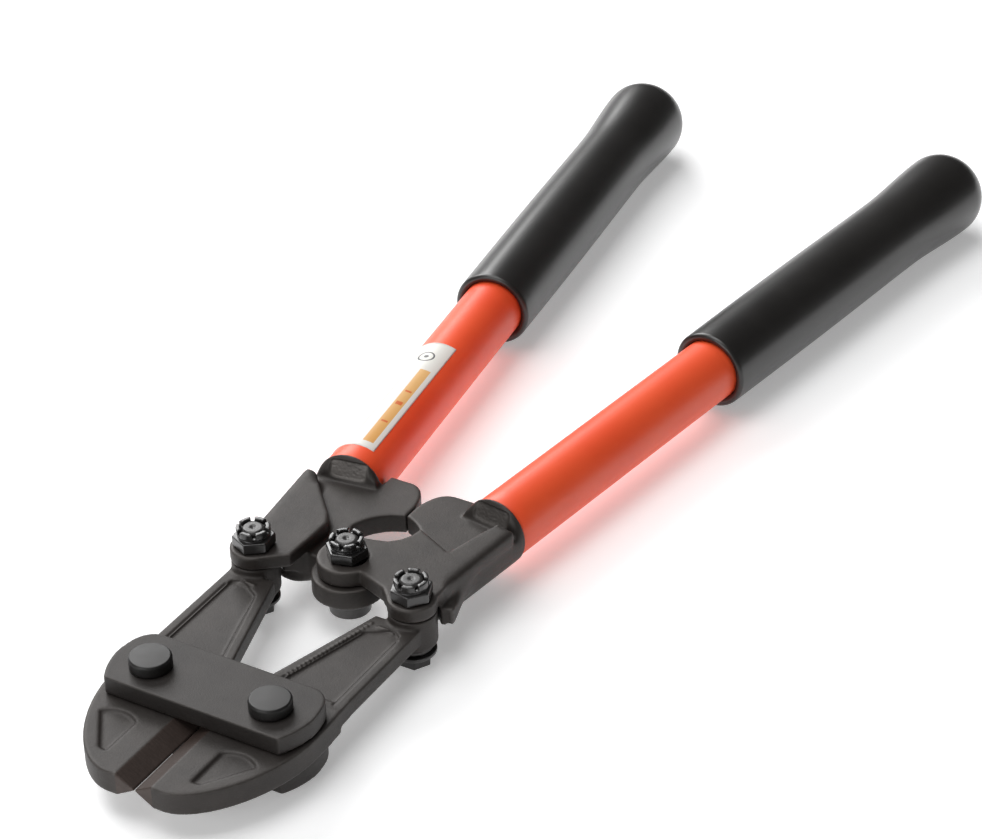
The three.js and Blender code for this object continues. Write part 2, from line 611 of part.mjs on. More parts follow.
// Dipped vinyl grip: rolled mouth, long barrel that widens a little, waist and bulb
function grip(side) {
  const end = GRIP_START + GRIP_LENGTH;
  const bore = TUBE_RADIUS + FACE_GAP;
  const boreEnd = end - GRIP_END_WALL;
  const profile = [
    [bore, GRIP_START], [GRIP_RADIUS - 0.9, GRIP_START], [GRIP_RADIUS - 0.2, GRIP_START + 0.8],
    [GRIP_RADIUS, GRIP_START + 2.2], [GRIP_RADIUS + 0.2, GRIP_START + 0.75 * GRIP_LENGTH],
    [GRIP_RADIUS + 0.4, end - 30],
  ];
  for (let i = 0; i <= 8; i += 1) {
    const turn = (i / 8) * (Math.PI / 2);
    profile.push([GRIP_BULB_RADIUS * Math.cos(turn), end - GRIP_BULB_RADIUS * 0.95 * (1 - Math.sin(turn))]);
  }
  profile[profile.length - 1][0] = 0;
  profile.push([0, boreEnd], [bore, boreEnd], [bore, GRIP_START]);
  return turnedOnHandle(profile, side);
}

for (const [name, side] of [['left', 1], ['right', -1]]) {
  place(`tube_${name}`, tube(side), orangeCoat);
  place(`grip_${name}`, grip(side), blackVinyl);
}

// Thin printed film, wrapped over the top of the left tube
function label() {
  const inner = TUBE_RADIUS + LABEL_GAP;
  const outer = inner + LABEL_THICKNESS;
  const steps = 14;
  const section = new THREE.Shape();
  const at = (radius, i) => {
    const turn = LABEL_MIDDLE + LABEL_WRAP * (i / steps - 0.5);
    return [radius * Math.cos(turn), radius * Math.sin(turn)];
  };
  section.moveTo(...at(outer, 0));
  for (let i = 1; i <= steps; i += 1) section.lineTo(...at(outer, i));
  for (let i = steps; i >= 0; i -= 1) section.lineTo(...at(inner, i));
  section.closePath();
  const geometry = new THREE.ExtrudeGeometry(section, { depth: LABEL_LENGTH, bevelEnabled: false });
  geometry.applyMatrix4(SECTION_ALONG_X);
  geometry.translate(LABEL_START, 0, HANDLE_AXIS_Z);
  geometry.rotateZ(HANDLE_ANGLE);
  const [x, y] = onHandle(0, 0);
  geometry.translate(x, y, 0);
  return solid(geometry);
}

place('label', label(), labelFilm);

const bounds = new THREE.Box3().setFromObject(tool);
tool.position.x = -(bounds.min.x + bounds.max.x) / 2;
tool.updateMatrixWorld(true);

export default tool;
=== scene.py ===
"""Compound-lever bolt cutters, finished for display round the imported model, in metres.

The sections follow the tool as it is put together: jaws, straps, jaw bolts, handle forgings,
pivot bolts with their nuts, tubes, grips and the label.
"""

import math

import bmesh
import bpy
import numpy as np
from mathutils import Matrix, Vector


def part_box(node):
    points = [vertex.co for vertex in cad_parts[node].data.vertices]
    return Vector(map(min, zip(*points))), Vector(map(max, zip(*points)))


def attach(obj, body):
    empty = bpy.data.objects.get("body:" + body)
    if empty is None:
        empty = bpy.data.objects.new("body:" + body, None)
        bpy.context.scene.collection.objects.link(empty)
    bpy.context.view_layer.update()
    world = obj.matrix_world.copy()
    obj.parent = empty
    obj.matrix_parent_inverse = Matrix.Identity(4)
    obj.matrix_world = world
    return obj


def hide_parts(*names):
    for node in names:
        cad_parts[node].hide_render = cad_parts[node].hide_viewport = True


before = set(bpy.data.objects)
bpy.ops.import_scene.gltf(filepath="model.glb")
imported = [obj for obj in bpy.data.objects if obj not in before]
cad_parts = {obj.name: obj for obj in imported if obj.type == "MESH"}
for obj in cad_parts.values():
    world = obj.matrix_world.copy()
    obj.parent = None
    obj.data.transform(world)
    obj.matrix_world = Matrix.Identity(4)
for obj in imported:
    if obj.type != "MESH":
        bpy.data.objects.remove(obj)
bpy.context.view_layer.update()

# ---- Studio -----------------------------------------------------------------------------------
# The tool lies on a white acrylic sheet that is lit from below, under a large softbox beyond the
# left handle, one overhead and one in front of the jaws, in a white room that is brighter on the
# left. The camera looks down on the jaws from the front right.

MM = 0.001
scene = bpy.context.scene
scene.view_settings.view_transform = "Standard"

camera_data = bpy.data.cameras.new("camera")
camera_data.sensor_width = 36
camera_data.lens = 117.5
camera_data.clip_end = 60
camera = bpy.data.objects.new("camera", camera_data)
scene.collection.objects.link(camera)
scene.camera = camera

CAMERA_PLACE = Vector((-793.36, -471.69, 610.14)) * MM
CAMERA_AZIMUTH = math.radians(211.306)
CAMERA_ELEVATION = math.radians(32.815)
CAMERA_ROLL = math.radians(-1.655)
camera_back = Vector((
    math.cos(CAMERA_ELEVATION) * math.cos(CAMERA_AZIMUTH),
    math.cos(CAMERA_ELEVATION) * math.sin(CAMERA_AZIMUTH),
    math.sin(CAMERA_ELEVATION),
))
level_right = (-camera_back).cross(Vector((0, 0, 1))).normalized()
level_up = camera_back.cross(level_right)
camera_right = level_right * math.cos(CAMERA_ROLL) + level_up * math.sin(CAMERA_ROLL)
camera_up = level_up * math.cos(CAMERA_ROLL) - level_right * math.sin(CAMERA_ROLL)
camera_turn = Matrix((camera_right, camera_up, camera_back)).transposed().to_4x4()
camera.matrix_world = Matrix.Translation(CAMERA_PLACE) @ camera_turn


def softbox(name, place, target, width, height, power):
    light = bpy.data.lights.new(name, "AREA")
    light.shape = "RECTANGLE"
    light.size = width
    light.size_y = height
    light.energy = power
    lamp = bpy.data.objects.new(name, light)
    scene.collection.objects.link(lamp)
    lamp.rotation_euler = (Vector(target) - Vector(place)).to_track_quat("-Z", "Y").to_euler()
    lamp.location = place


softbox("key_softbox", (0.9, 1.5, 1.2), (0, 0, 0), width=1.5, height=1.2, power=36)
softbox("top_softbox", (-0.3, 0.5, 2.2), (0, 0, 0), width=1.6, height=1.6, power=30)
softbox("front_softbox", (-1.7, 0.3, 0.8), (-0.1, 0, 0), width=1.2, height=0.7, power=10)


def feed(tree, node, feeds):
    """Sets a node's inputs to plain values, or links them to the outputs of other nodes."""
    for key, value in feeds.items():
        if isinstance(value, bpy.types.NodeSocket):
            tree.links.new(value, node.inputs[key])
        else:
            node.inputs[key].default_value = value


def add_node(tree, kind, feeds=None, **settings):
    """Adds a node in a row after the others, applies its settings and feeds its inputs."""
    node = tree.nodes.new(kind)
    node.location = (200 * len(tree.nodes), 0)
    for name, value in settings.items():
        setattr(node, name, value)
    feed(tree, node, feeds or {})
    return node


room = bpy.data.worlds.new("white_room")
room.use_nodes = True
room_tree = room.node_tree
room_way = add_node(room_tree, "ShaderNodeTexCoord")
room_axes = add_node(room_tree, "ShaderNodeSeparateXYZ", {0: room_way.outputs["Generated"]})
room_light = add_node(room_tree, "ShaderNodeMapRange", {
    "Value": room_axes.outputs["Y"], "From Min": -0.75, "From Max": 0.35,
    "To Min": 1.0, "To Max": 1.6}, interpolation_type="SMOOTHSTEP")
feed(room_tree, room_tree.nodes["Background"], {"Strength": room_light.outputs[0]})
scene.world = room


def new_material(name):
    material = bpy.data.materials.new(name)
    material.use_nodes = True
    return material, material.node_tree, material.node_tree.nodes["Principled BSDF"]


FLOOR_HALF = 8.0
FLOOR_Z = -0.2 * MM
floor_mesh = bpy.data.meshes.new("floor")
floor_mesh.from_pydata(
    [(-FLOOR_HALF, -FLOOR_HALF, FLOOR_Z), (FLOOR_HALF, -FLOOR_HALF, FLOOR_Z),
     (FLOOR_HALF, FLOOR_HALF, FLOOR_Z), (-FLOOR_HALF, FLOOR_HALF, FLOOR_Z)],
    [], [(0, 1, 2, 3)])
floor = bpy.data.objects.new("floor", floor_mesh)
scene.collection.objects.link(floor)
acrylic_sheet, floor_tree, floor_shader = new_material("lit_acrylic_sheet")
feed(floor_tree, floor_shader, {
    "Base Color": (0.92, 0.92, 0.925, 1), "Roughness": 0.6, "Specular IOR Level": 0.2,
    "Emission Color": (1, 1, 1, 1), "Emission Strength": 0.33})
floor_mesh.materials.append(acrylic_sheet)

# ---- Jaws -------------------------------------------------------------------------------------
# Two drop-forged alloy steel jaws, blackened after heat treatment. The forging leaves rounded
# corners, a sunk web inside raised rims and a fine grain; the cutting bevels are ground bare.

JAW_LINE_X = (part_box("jaw_bolt_left")[0].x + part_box("jaw_bolt_left")[1].x) / 2
BEVEL_EDGE_Y = 6.55 * MM
BEVEL_BACK_X = JAW_LINE_X - 4 * MM
KEEN_BAND = 0.8 * MM
KEEN_SHARE = 0.15
WELD_DISTANCE = 0.002 * MM
JAW_VOXEL = 0.36 * MM
FLAT_ENOUGH = 0.8
GROOVE_DEPTH = 0.35 * MM
GROOVE_WIDTH = 0.45 * MM
BAR_HEIGHT = 0.5 * MM
BAR_WIDTH = 0.7 * MM
BEAD_SIZE = 0.55 * MM
BEAD_PITCH = 1.75 * MM


def evaluated_mesh(piece):
    """Replaces a piece's mesh by what its modifiers make of it, and takes the modifiers off."""
    depsgraph = bpy.context.evaluated_depsgraph_get()
    mesh = bpy.data.meshes.new_from_object(piece.evaluated_get(depsgraph))
    mesh.name = piece.name
    piece.modifiers.clear()
    piece.data = mesh


def new_piece(name, mesh):
    piece = bpy.data.objects.new(name, mesh)
    scene.collection.objects.link(piece)
    return piece


def remeshed(piece, voxel):
    """Rebuilds a closed piece as an even net of small faces, so its corners can be rounded."""
    net = piece.modifiers.new("net", "REMESH")
    net.mode = "VOXEL"
    net.voxel_size = voxel
    evaluated_mesh(piece)


def copy_of_node(name, node):
    """A copy of a CAD node's mesh, with its loose triangles welded together."""
    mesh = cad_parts[node].data.copy()
    mesh.materials.clear()
    work = bmesh.new()
    work.from_mesh(mesh)
    bmesh.ops.remove_doubles(work, verts=work.verts, dist=WELD_DISTANCE)
    work.to_mesh(mesh)
    work.free()
    return new_piece(name, mesh)


def rows_of(mesh, what):
    """The points (co) or normals of a mesh as rows of three numbers."""
    flat = np.empty(len(mesh.vertices) * 3, np.float64)
    mesh.vertices.foreach_get(what, flat)
    return flat.reshape(-1, 3)


def set_points(mesh, points):
    mesh.vertices.foreach_set("co", points.astype(np.float32).ravel())
    mesh.update()


def neighbour_mean(mesh):
    """A function that gives the mean of each point's neighbours, for a row of values a point."""
    ends = np.empty(len(mesh.edges) * 2, np.int64)
    mesh.edges.foreach_get("vertices", ends)
    ends = ends.reshape(-1, 2)
    count = len(mesh.vertices)
    near = np.bincount(ends.ravel(), minlength=count)[:, None]

    def mean(values):
        total = np.stack([
            np.bincount(ends[:, 0], column[ends[:, 1]], count)
            + np.bincount(ends[:, 1], column[ends[:, 0]], count)
            for column in values.T
        ], axis=1)
        return total / near

    return mean


def soften(piece, passes, share=None):
    """Rounds corners by moving each point towards the mean of its neighbours."""
    mean = neighbour_mean(piece.data)
    points = rows_of(piece.data, "co")
    weight = 0.5 if share is None else 0.5 * share(points)[:, None]
    for turn in range(passes):
        points += weight * (mean(points) - points)
    set_points(piece.data, points)


def keep_values(piece, name, values):
    """Stores one number per point on the mesh, for its material to read."""
    layer = piece.data.attributes.new(name, "FLOAT", "POINT")
    layer.data.foreach_set("value", values.astype(np.float32))


def mark_edges(piece, voxel):
    """Stores how far each point stands out from its surroundings, where the finish wears."""
    mean = neighbour_mean(piece.data)
    points = rows_of(piece.data, "co")
    normals = rows_of(piece.data, "normal")
    proud = ((points - mean(points)) * normals).sum(axis=1, keepdims=True) / voxel
    for turn in range(4):
        proud = 0.4 * proud + 0.6 * mean(proud)
    keep_values(piece, "edge_wear", proud[:, 0])


def press_line(piece, start, end, depth, width, faces=(1, -1), pitch=None):
    """Sinks a soft groove (or raises a bar, with a negative depth) along a line on flat faces.

    With a pitch, the depth swells and fades along the line, which makes a row of beads.
    """
    points = rows_of(piece.data, "co")
    upward = rows_of(piece.data, "normal")[:, 2]
    start = np.array(start, float)
    line = np.array(end, float) - start
    share = np.clip((points[:, :2] - start) @ line / (line @ line), 0, 1)
    away = np.linalg.norm(points[:, :2] - start - share[:, None] * line, axis=1)
    shape = depth * np.exp(-(away / width) ** 2)
    if pitch:
        turns = share * np.linalg.norm(line) / pitch
        shape *= 0.5 - 0.5 * np.cos(2 * math.pi * turns)
    for face in faces:
        points[:, 2] -= np.where(upward * face > FLAT_ENOUGH, shape * face, 0)
    set_points(piece.data, points)


def add_socket(tree, name, kind, value=None, direction="INPUT"):
    socket = tree.interface.new_socket(name=name, in_out=direction, socket_type=kind)
    if value is not None:
        socket.default_value = value
    return socket.identifier


# Geometry Nodes: the slightly uneven skin that a hammered forging keeps under its finish
skin_tree = bpy.data.node_groups.new("forged_skin", "GeometryNodeTree")
add_socket(skin_tree, "Geometry", "NodeSocketGeometry")
SKIN_HEIGHT = add_socket(skin_tree, "Height", "NodeSocketFloat", 0.1 * MM)
SKIN_DETAIL = add_socket(skin_tree, "Bumps per metre", "NodeSocketFloat", 140.0)
SKIN_SEED = add_socket(skin_tree, "Seed", "NodeSocketFloat", 0.0)
SKIN_MATERIAL = add_socket(skin_tree, "Material", "NodeSocketMaterial")
add_socket(skin_tree, "Geometry", "NodeSocketGeometry", direction="OUTPUT")
skin_in = add_node(skin_tree, "NodeGroupInput")
skin_noise = add_node(skin_tree, "ShaderNodeTexNoise", {
    "Scale": skin_in.outputs["Bumps per metre"], "W": skin_in.outputs["Seed"],
    "Detail": 3.0}, noise_dimensions="4D")
skin_middle = add_node(
    skin_tree, "ShaderNodeMath", {0: skin_noise.outputs[0], 1: 0.5}, operation="SUBTRACT")
skin_height = add_node(skin_tree, "ShaderNodeMath", {
    0: skin_middle.outputs[0], 1: skin_in.outputs["Height"]}, operation="MULTIPLY")
skin_normal = add_node(skin_tree, "GeometryNodeInputNormal")
skin_offset = add_node(skin_tree, "ShaderNodeVectorMath", {
    0: skin_normal.outputs[0], "Scale": skin_height.outputs[0]}, operation="SCALE")
skin_move = add_node(skin_tree, "GeometryNodeSetPosition", {
    "Geometry": skin_in.outputs["Geometry"], "Offset": skin_offset.outputs[0]})
skin_real = add_node(skin_tree, "GeometryNodeRealizeInstances", {0: skin_move.outputs[0]})
skin_paint = add_node(skin_tree, "GeometryNodeSetMaterial", {
    "Geometry": skin_real.outputs[0], "Material": skin_in.outputs["Material"]})
add_node(skin_tree, "NodeGroupOutput", {0: skin_paint.outputs[0]})


def give_skin(piece, material, height, detail, seed):
    skin = piece.modifiers.new("forged_skin", "NODES")
    skin.node_group = skin_tree
    skin[SKIN_HEIGHT] = height
    skin[SKIN_DETAIL] = detail
    skin[SKIN_SEED] = seed
    skin[SKIN_MATERIAL] = material
    evaluated_mesh(piece)
    piece.data.shade_smooth()


def mount_piece(piece, body, slot, *nodes):
    """The piece rides on its body and stands for the nodes, which it hides; the slot is not used.
    """
    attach(piece, body)
    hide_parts(*nodes)


def object_place(tree):
    return add_node(tree, "ShaderNodeTexCoord").outputs["Object"]


def noise(tree, place, scale, detail, roughness=0.5):
    return add_node(tree, "ShaderNodeTexNoise", {
        "Vector": place, "Scale": scale, "Detail": detail, "Roughness": roughness}).outputs[0]


def two_tones(tree, value, low, dark, high, light):
    """A colour that runs from a dark tone at a low value to a light one at a high value."""
    ramp = add_node(tree, "ShaderNodeValToRGB", {0: value})
    first, last = ramp.color_ramp.elements
    first.position, last.position = low, high
    first.color, last.color = (*dark, 1), (*light, 1)
    return ramp.outputs[0]


def ranged(tree, value, to_low, to_high, from_low=0.0, from_high=1.0):
    return add_node(tree, "ShaderNodeMapRange", {
        "Value": value, "From Min": from_low, "From Max": from_high,
        "To Min": to_low, "To Max": to_high}).outputs[0]


def blend_colours(tree, factor, under, over, **settings):
    return add_node(tree, "ShaderNodeMix", {"Factor": factor, "A": under, "B": over},
                    data_type="RGBA", **settings).outputs["Result"]


def bumped(tree, height, strength, distance):
    return add_node(tree, "ShaderNodeBump", {
        "Strength": strength, "Distance": distance, "Height": height}).outputs[0]


def blackened_steel(name, dark, light, roughness, grain, ground=False):
    """Forged steel under a thin matt black finish: mottled, grained, rubbed on its edges and paler
    on rough faces, whose left-right difference is painted light.
    """
    material, tree, shader = new_material(name)
    place = object_place(tree)
    mottle = noise(tree, place, 90.0, 6.0, 0.62)
    tone = two_tones(tree, mottle, 0.32, dark, 0.72, light)
    edges = add_node(tree, "ShaderNodeAttribute", attribute_name="edge_wear").outputs["Fac"]
    rub = ranged(tree, edges, 0.0, 0.5, 0.02, 0.11)
    # Rough collar faces turn paler; how much paler each handle's face is painted is painted light.
    rough = add_node(tree, "ShaderNodeAttribute", attribute_name="rough_face_and_painted_light").outputs["Fac"]
    wear_and_painted_light = add_node(
        tree, "ShaderNodeMath", {0: rough, 1: 0.75, 2: rub}, operation="MULTIPLY_ADD")
    colour = blend_colours(
        tree, wear_and_painted_light.outputs[0], tone, (0.11, 0.1, 0.093, 1), clamp_factor=False)
    if ground:
        colour = ground_bevel_with_painted_reflection(tree, place, colour)
    fine = noise(tree, place, grain, 5.0, 0.7)
    pits = add_node(tree, "ShaderNodeTexVoronoi", {"Vector": place, "Scale": grain * 0.45})
    pit_depth = ranged(tree, pits.outputs["Distance"], -0.35, 0.0, 0.0, 0.3)
    height = add_node(tree, "ShaderNodeMath", {0: fine, 1: pit_depth}, operation="ADD")
    feed(tree, shader, {
        "Base Color": colour,
        "Metallic": 0.25,
        "Roughness": ranged(tree, fine, roughness - 0.08, roughness + 0.1),
        "Normal": bumped(tree, height.outputs[0], 0.5, 0.12 * MM)})
    return material


def ground_bevel_with_painted_reflection(tree, place, colour):
    """Bare ground steel on the bevels, tinted brown as a painted warm reflection, with fine
    grinding lines along the cutting edge.
    """
    axes = add_node(tree, "ShaderNodeSeparateXYZ", {0: place})
    across = add_node(tree, "ShaderNodeMath", {0: axes.outputs["Y"]}, operation="ABSOLUTE")
    inside = ranged(tree, across.outputs[0], 1.0, 0.0,
                    BEVEL_EDGE_Y - 0.15 * MM, BEVEL_EDGE_Y + 0.05 * MM)
    ahead = add_node(tree, "ShaderNodeMath", {
        0: axes.outputs["X"], 1: BEVEL_BACK_X}, operation="LESS_THAN")
    mask = add_node(
        tree, "ShaderNodeMath", {0: inside, 1: ahead.outputs[0]}, operation="MULTIPLY")
    stretch = add_node(
        tree, "ShaderNodeMapping", {"Vector": place, "Scale": (1.0, 0.12, 0.12)})
    lines = noise(tree, stretch.outputs[0], 2600.0, 3.0)
    # The brown tint of the bare steel is a painted warm reflection.
    bare = two_tones(tree, lines, 0.3, (0.04, 0.027, 0.022), 0.75, (0.06, 0.042, 0.035))
    return blend_colours(tree, mask.outputs[0], colour, bare)


jaw_finish = blackened_steel(
    "jaw_forged_black", (0.023, 0.0189, 0.0167), (0.037, 0.0309, 0.0275),
    roughness=0.52, grain=1500.0, ground=True)


def keep_edges_keen(points):
    """Rounds the forged corners in full and the ground cutting edges hardly at all."""
    by_the_edge = np.abs(points[:, 1]) < BEVEL_EDGE_Y + KEEN_BAND
    return np.where(by_the_edge & (points[:, 0] < BEVEL_BACK_X), KEEN_SHARE, 1.0)


def beside_jaw_line(x, y, side):
    return (JAW_LINE_X + x * MM, side * y * MM)


for name, side, seed in (("left", 1, 1.0), ("right", -1, 7.0)):
    jaw = copy_of_node(f"forged_jaw_{name}", f"jaw_{name}")
    remeshed(jaw, JAW_VOXEL)
    soften(jaw, passes=9, share=keep_edges_keen)
    for start, end in (((18, 32.0), (54, 32.0)), ((20, 10.4), (52, 19.8))):
        press_line(jaw, beside_jaw_line(*start, side), beside_jaw_line(*end, side),
                   GROOVE_DEPTH, GROOVE_WIDTH)
    press_line(jaw, beside_jaw_line(57.2, 23.5, side), beside_jaw_line(57.2, 28.5, side),
               -BAR_HEIGHT, BAR_WIDTH, faces=(1,))
    if name == "right":
        press_line(jaw, beside_jaw_line(23, 11.4, side), beside_jaw_line(58, 20.2, side),
                   -BEAD_SIZE, BEAD_SIZE, faces=(1,), pitch=BEAD_PITCH)
    mark_edges(jaw, JAW_VOXEL)
    give_skin(jaw, jaw_finish, height=0.12 * MM, detail=130.0, seed=seed)
    mount_piece(jaw, f"jaw_{name}", "forged_steel", f"jaw_{name}")

# ---- Straps -----------------------------------------------------------------------------------
# Two flat straps cut from 6.3 mm steel plate, one above and one below the jaws. The blanking
# rounds their edges a little, and they carry the same black finish as the jaws.

STRAP_VOXEL = 0.36 * MM
strap_finish = blackened_steel(
    "strap_black", (0.0215, 0.018, 0.0162), (0.0305, 0.0262, 0.0238),
    roughness=0.52, grain=1900.0)

for name, seed in (("upper", 3.0), ("lower", 5.0)):
    strap = copy_of_node(f"plate_strap_{name}", f"strap_{name}")
    remeshed(strap, STRAP_VOXEL)
    soften(strap, passes=8)
    mark_edges(strap, STRAP_VOXEL)
    give_skin(strap, strap_finish, height=0.06 * MM, detail=90.0, seed=seed)
    mount_piece(strap, "straps", "forged_steel", f"strap_{name}")

# ---- Jaw bolts and collars --------------------------------------------------------------------
# Round-headed shouldered bolts that the jaws turn on, turned from bar with a chamfered head, and
# the plain collars that hold their lower ends. All are in matt black oxide.

TURNED_STEPS = 96
POLE_RADIUS = 0.001 * MM
JAW_BOLT_RADIUS = 5 * MM
JAW_THREAD_RADIUS = 4 * MM
THREAD_CHAMFER = 0.6 * MM
SEAT_GAP = 0.12 * MM
RUNNING_GAP = 0.15 * MM
STRAP_TOP_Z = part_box("strap_upper")[1].z
STRAP_FOOT_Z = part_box("strap_lower")[0].z


def turned_piece(name, centre, profile, steps=TURNED_STEPS):
    """Closed body of revolution about an upright axis, from (radius, height) pairs in metres."""
    work = bmesh.new()
    rings = []
    for radius, height in profile:
        if radius < POLE_RADIUS:
            rings.append([work.verts.new((centre[0], centre[1], height))])
            continue
        rings.append([
            work.verts.new((
                centre[0] + radius * math.cos(turn),
                centre[1] + radius * math.sin(turn),
                height))
            for turn in (2 * math.pi * i / steps for i in range(steps))])
    bands = list(zip(rings, rings[1:]))
    if len(rings[0]) > 1:
        bands.append((rings[-1], rings[0]))
    for lower, upper in bands:
        if len(lower) == 1 and len(upper) == 1:
            continue
        for i in range(steps):
            j = (i + 1) % steps
            corners = [lower[i % len(lower)], lower[j % len(lower)],
                       upper[j % len(upper)], upper[i % len(upper)]]
            work.faces.new(list(dict.fromkeys(corners)))
    bmesh.ops.recalc_face_normals(work, faces=work.faces)
    mesh = bpy.data.meshes.new(name)
    work.to_mesh(mesh)
    work.free()
    return new_piece(name, mesh)


def round_corners(profile, size, steps=4):
    """Replaces each corner of an open profile by a short arc."""
    rounded = [profile[0]]
    for before, corner, after in zip(profile, profile[1:], profile[2:]):
        corner = Vector(corner)
        into = Vector(before) - corner
        out = Vector(after) - corner
        reach = min(size, into.length * 0.45, out.length * 0.45)
        start = corner + into.normalized() * reach
        end = corner + out.normalized() * reach
        for i in range(steps + 1):
            t = i / steps
            point = start * (1 - t) ** 2 + corner * 2 * t * (1 - t) + end * t ** 2
            rounded.append((point.x, point.y))
    rounded.append(profile[-1])
    return rounded


def finish_with(piece, material):
    piece.data.materials.clear()
    piece.data.materials.append(material)
    piece.data.shade_smooth()


def size_of(node):
    """A round node's middle, outer radius, and the heights of its underside and top."""
    low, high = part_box(node)
    return (low + high) / 2, (high.y - low.y) / 2, low.z, high.z


def black_oxide(name, base, roughness, coat):
    """Black oxide on turned steel: oiled, clouded, and rubbed pale on its edges."""
    material, tree, shader = new_material(name)
    place = object_place(tree)
    cloud = noise(tree, place, 260.0, 5.0)
    tone = two_tones(
        tree, cloud, 0.3, [0.7 * part for part in base], 0.75, [1.35 * part for part in base])
    surface = add_node(tree, "ShaderNodeNewGeometry")
    rub = ranged(tree, surface.outputs["Pointiness"], 0.0, 0.5, 0.53, 0.66)
    feed(tree, shader, {
        "Base Color": blend_colours(tree, rub, tone, (0.16, 0.15, 0.145, 1)),
        "Metallic": 0.2,
        "Roughness": ranged(tree, cloud, roughness - 0.08, roughness + 0.1),
        "Coat Weight": coat,
        "Coat Roughness": 0.18,
        "Normal": bumped(tree, noise(tree, place, 2600.0, 3.0), 0.3, 0.05 * MM)})
    return material


jaw_bolt_finish = black_oxide(
    "jaw_bolt_black_oxide", (0.012, 0.0112, 0.0106), roughness=0.46, coat=0.05)

for name in ("left", "right"):
    centre, radius, foot, top = size_of(f"jaw_bolt_{name}")
    seat = STRAP_TOP_Z + SEAT_GAP
    bolt = turned_piece(f"round_head_bolt_{name}", centre, round_corners([
        (0, foot), (JAW_THREAD_RADIUS - THREAD_CHAMFER, foot),
        (JAW_THREAD_RADIUS, foot + THREAD_CHAMFER),
        (JAW_THREAD_RADIUS, STRAP_FOOT_Z), (JAW_BOLT_RADIUS, STRAP_FOOT_Z),
        (JAW_BOLT_RADIUS, seat), (radius - 0.25 * MM, seat), (radius, seat + 0.5 * MM),
        (radius, top - 0.6 * MM), (radius - 0.5 * MM, top), (0, top),
    ], size=0.25 * MM))
    finish_with(bolt, jaw_bolt_finish)
    mount_piece(bolt, "straps", "black_oxide", f"jaw_bolt_{name}")

    radius, foot, top = size_of(f"jaw_bolt_collar_{name}")[1:]
    bore = JAW_THREAD_RADIUS + RUNNING_GAP
    edge = 0.3 * MM
    collar = turned_piece(f"bolt_collar_{name}", centre, [
        (bore + edge, foot), (radius - 0.7 * MM, foot),
        (radius - 0.2 * MM, foot + 0.2 * MM), (radius, foot + 0.7 * MM),
        (radius, top - edge), (radius - edge, top),
        (bore + edge, top), (bore, top - edge), (bore, foot + edge),
    ])
    finish_with(collar, jaw_bolt_finish)
    mount_piece(collar, "straps", "black_oxide", f"jaw_bolt_collar_{name}")

# ---- Handle forgings --------------------------------------------------------------------------
# The two forged handle heads, each with an ear over its jaw's tail, a plate that reaches the
# centre bolt, a stop lug and a round collar. The right one lies over the left one's boss.

FORGING_VOXEL = 0.42 * MM
HANDLE_ANGLE = math.radians(7.5)
HANDLE_PIVOT = size_of("handle_nut_left")[0]
AXIS_INSET = 8.34 * MM
AXIS_Z = 15.9 * MM
COLLAR_START = 46 * MM
COLLAR_END = 54 * MM
FACE_DEPTH = 0.6 * MM
FACE_GRAIN = 0.06 * MM
FACE_HALF_WIDTH = 6.6 * MM
FACE_HALF_HEIGHT = 2.9 * MM
FACE_MIDDLE = 6.9 * MM

handle_finish = blackened_steel(
    "handle_forged_black", (0.025, 0.0206, 0.0182), (0.042, 0.0352, 0.0312),
    roughness=0.5, grain=1400.0)


def along_handle(points, side):
    """Where points lie along a handle's axis, outboard of it and above it, in metres."""
    along = np.array((math.cos(HANDLE_ANGLE), side * math.sin(HANDLE_ANGLE)))
    outboard = np.array((-math.sin(HANDLE_ANGLE), side * math.cos(HANDLE_ANGLE)))
    foot = np.array((HANDLE_PIVOT.x, side * HANDLE_PIVOT.y)) - AXIS_INSET * outboard
    plan = points[:, :2] - foot
    return plan @ along, plan @ outboard, points[:, 2] - AXIS_Z


def fade(values, low, high):
    """0 below one value and 1 above another, with a smooth run between them."""
    share = np.clip((values - low) / (high - low), 0, 1)
    return share * share * (3 - 2 * share)


def round_body(side):
    """Share of the rounding on a forging's outboard ridge and on its collar's crown."""
    def share(points):
        along, outboard, above = along_handle(points, side)
        ridge = fade(outboard, 4 * MM, 7 * MM) * fade(along, 9 * MM, 14 * MM)
        crown = fade(above, 5 * MM, 8 * MM) * fade(along, COLLAR_START, COLLAR_START + 4 * MM)
        before_end = 1 - fade(along, COLLAR_END - 1.6 * MM, COLLAR_END - 0.6 * MM)
        return np.maximum(ridge, crown) * before_end
    return share


def press_collar_face(piece, side, paleness_and_painted_light):
    """Sinks a rounded rectangle into the steep face below the collar's crown, and marks it as a
    paler rough face; part of that paleness is painted light, stronger on the left handle.
    """
    points = rows_of(piece.data, "co")
    along, outboard, above = along_handle(points, side)
    across = np.abs((outboard + 0.5 * MM) / FACE_HALF_WIDTH) ** 5
    height = np.abs((above - FACE_MIDDLE) / FACE_HALF_HEIGHT) ** 5
    inside = 1 - fade(across + height, 0.6, 1.4)
    inside *= fade(along, COLLAR_END - 9 * MM, COLLAR_END - 8 * MM)
    inside *= 1 - fade(along, COLLAR_END - 0.9 * MM, COLLAR_END - 0.6 * MM)
    rough = np.random.default_rng(4).normal(0, FACE_GRAIN, len(points))
    push = inside * (FACE_DEPTH + rough)
    points[:, 0] += push * math.cos(HANDLE_ANGLE)
    points[:, 1] += push * side * math.sin(HANDLE_ANGLE)
    set_points(piece.data, points)
    keep_values(piece, "rough_face_and_painted_light", inside * paleness_and_painted_light)


